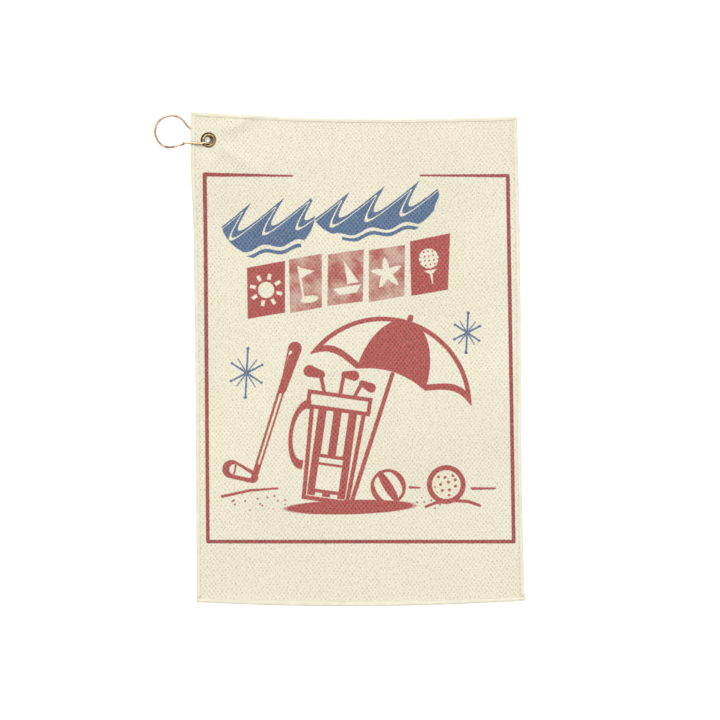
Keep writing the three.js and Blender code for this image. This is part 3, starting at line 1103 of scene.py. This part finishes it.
# The chain runs off at the right-hand corners and turns back along the edge:
# three plies that open into loose ends
def makeThreadTail(corner, material, upward, seed):
    rng = random.Random(seed)
    along = upward * (towel["length"] / 2 - tail["fromEnd"])
    half = tail["halfLength"]
    bm = bmesh.new()
    for ply in range(tail["plies"]):
        points = []
        radii = []
        flare = rng.uniform(-0.5, 0.5)
        for step in range(tail["steps"] + 1):
            share = step / tail["steps"]
            turn = share * tail["turns"] * 2 * math.pi + ply * 2 * math.pi / tail["plies"]
            spread = tail["spread"] + tail["looseSpread"] * smoothStep(share, 0.7, 1)
            place = laidPlace(towel["width"] / 2 + tail["out"], along + upward * lerp(-half, half, share))
            x = place.x + spread * math.cos(turn) + flare * smoothStep(share, 0.75, 1) * 0.6
            points.append(Vector((x, place.y, tail["height"] + spread * math.sin(turn))))
            radii.append(tail["plyRadius"] * (1 - 0.45 * smoothStep(share, 0.85, 1)))
        sweepAlong(points, radii, 1, bm)
    node = f"thread_tail_{corner.lower()}_right"
    return makePiece(f"threadTail{corner}Right", bm, [material], node, "towel")


grommet = {
    "radius": 9.8,
    "hole": 4.75,
    "wall": 0.5,
    "halfHeight": 2.2,
    "barrelHalf": 0.2,
    "curl": 7.6,
    "gap": 0.3,
    "washerHole": 6,
    "washerThickness": 0.4,
    "height": 4.95,
    "segments": 96,
}


def quarter(centreRadius, centreHeight, halfWidth, halfHeight, start, end):
    angles = [math.radians(lerp(start, end, step / 10)) for step in range(11)]
    return [(centreRadius + halfWidth * math.cos(a), centreHeight + halfHeight * math.sin(a)) for a in angles]


def spun(profile):
    bm = bmesh.new()
    verts = [bm.verts.new((radius, 0, height)) for radius, height in profile]
    edges = [bm.edges.new(pair) for pair in zip(verts, [*verts[1:], verts[0]])]
    bmesh.ops.spin(
        bm, geom=verts + edges, cent=(0, 0, 0), axis=(0, 0, 1), angle=2 * math.pi,
        steps=grommet["segments"], use_merge=True,
    )
    bmesh.ops.remove_doubles(bm, verts=bm.verts, dist=0.0001)
    bmesh.ops.recalc_face_normals(bm, faces=bm.faces)
    bmesh.ops.translate(bm, vec=(*grommetPlace, grommet["height"]), verts=bm.verts)
    return bm


def makeGrommet():
    radius, hole, wall = grommet["radius"], grommet["hole"], grommet["wall"]
    half, barrel, washer = grommet["halfHeight"], grommet["barrelHalf"], grommet["washerThickness"]
    rim = towel["thickness"] / 2 + grommet["gap"]
    crown = (radius + hole) / 2
    dome = radius - crown
    curl = grommet["curl"] - 1
    underCurl = half - washer
    profile = [
        *quarter(crown, rim, dome, half - rim, 0, 90),
        *quarter(crown, barrel, dome, half - barrel, 90, 180)[1:],
        *quarter(curl, -barrel, curl - hole, half - barrel, 180, 270),
        (grommet["curl"], -half),
        (grommet["curl"], -underCurl),
        *quarter(curl, -underCurl + 1.2, curl - hole - wall, 1.2, 270, 180),
        *quarter(crown, rim - 0.5, dome - wall, half - rim, 180, 90),
        (radius - wall, rim),
        (radius, rim),
    ]
    nextPoints = [*profile[1:], profile[0]]
    profile = [point for point, after in zip(profile, nextPoints) if math.dist(point, after) > 0.001]
    material = brassMaterial("antiqueBrass", 1.0)
    makePiece("grommet.face", spun(profile), [material], "grommet", "towel")
    bottom = -rim - washer
    ringProfile = [
        (grommet["washerHole"], bottom),
        (radius - washer, bottom),
        (radius, bottom + washer / 2),
        (radius, -rim),
        (grommet["washerHole"], -rim),
    ]
    material = brassMaterial("brassWasher", 0.7)
    makePiece("grommet.back", spun(ringProfile), [material], "grommet_washer", "towel")


hook = {
    "direction": 166.6,
    "wire": 1.2,
    "rest": 1.25,
    "gateHeight": 8.65,
    "bendRadius": 4.6,
    "bendCentre": 1.5,
    "legOffset": 3.7,
    "loopRadius": 20.2,
    "loopCentre": 47.9,
    "loopFrom": -135,
    "loopTo": 130,
    "climbFrom": 72,  # the loop rises to the arm's height between these angles
    "climbTo": 122,
    "gateFrom": 0.9,  # where the real wire bends as the arm springs in; the script works these places out but does nothing with them
    "gateTo": 4.5,
    "backLeg": [(3.2, -4.7), (5.5, -5.05), (13.5, -6.8), (25.3, -9.4), (29.4, -11)],
    "catch": [(31.6, 14.05, 0.1), (29.3, 13.2, 0.9), (27.8, 11.7, 2.35), (27.1, 10.2, 2.75)],
    "arm": [(1.5, 4.6), (1.95, 4.6), (3.45, 4.75), (7.7, 6.6), (10.7, 7.16), (30.6, 10.9)],
}


def onHook(point):
    turn = Matrix.Rotation(math.radians(hook["direction"]), 3, "Z")
    return turn @ Vector(point) + Vector((*grommetPlace, 0))


def roundedRadii(points, radius):
    # a hemisphere closes the free end
    radii = []
    fromStart = 0
    total = sum((b - a).length for a, b in zip(points, points[1:]))
    for index, point in enumerate(points):
        if index:
            fromStart += (point - points[index - 1]).length
        reach = min((total - fromStart) / radius, 1)
        radii.append(radius * math.sqrt(max(1 - (1 - reach) ** 2, 0.0025)))
    return radii


# Adds points close to the end of a line, so that it can be rounded off
def withFineEnd(points, radius):
    last, before = points[-1], points[-2]
    back = (before - last).normalized()
    kept = [point for point in points if (point - last).length > radius * 1.05]
    return [*kept, *(last + back * radius * (1 - math.sin(a)) for a in [math.pi * n / 16 for n in range(9)])]


# Notes on each vertex how far its surface faces upward, for the painted shade on the wire's sides
def markUpward(bm):
    bm.normal_update()
    layer = bm.verts.layers.float.new("upward")
    for vert in bm.verts:
        vert[layer] = vert.normal.z


def bentWire(points, perSpan):
    line = withFineEnd(throughPoints([onHook(point) for point in points], perSpan), hook["wire"])
    bm = sweepAlong(line, roundedRadii(line, hook["wire"]), 6)
    markUpward(bm)
    return bm


def makeHook(material):
    bend = []
    for step in range(9):
        angle = math.pi * step / 8
        bend.append((
            hook["bendCentre"] - hook["bendRadius"] * math.sin(angle),
            hook["bendRadius"] * math.cos(angle),
            grommet["height"] + hook["legOffset"] * math.cos(angle),
        ))
    leg = [(x, y, hook["rest"]) for x, y in hook["backLeg"]]
    loop = []
    for step in range(22):
        degrees = lerp(hook["loopFrom"], hook["loopTo"], step / 21)
        angle = math.radians(degrees)
        climb = smoothStep(degrees, hook["climbFrom"], hook["climbTo"])
        loop.append((
            hook["loopCentre"] + hook["loopRadius"] * math.cos(angle),
            hook["loopRadius"] * math.sin(angle),
            lerp(hook["rest"], hook["gateHeight"], climb),
        ))
    catch = [(x, y, hook["gateHeight"] + z) for x, y, z in hook["catch"]]
    wire = bentWire([*bend, *leg, *loop, *catch], 7)
    makePiece("hookWire", wire, [material], "hook_wire", "hook")

    arm = bentWire([(x, y, hook["gateHeight"]) for x, y in hook["arm"]], 10)
    obj = makePiece("hookGateArm", arm, [material], "hook_gate_arm")
    start, end = (
        towelMiddle + onHook((x, hook["bendRadius"], hook["gateHeight"])) * mm
        for x in (hook["gateFrom"], hook["gateTo"])
    )
    tuple(start)
    tuple(end)
    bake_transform(obj)


makeStudio()
print("cloth")
cloth = makeTowel()
print("edges")
threads = threadMaterial()
strips = [makeOverlock(side, threads) for side in ("top", "right", "bottom", "left")]
tails = [makeThreadTail("Top", threads, 1, 3), makeThreadTail("Bottom", threads, -1, 5)]
print("metalwork")
makeGrommet()
makeHook(copperMaterial())
print("done")
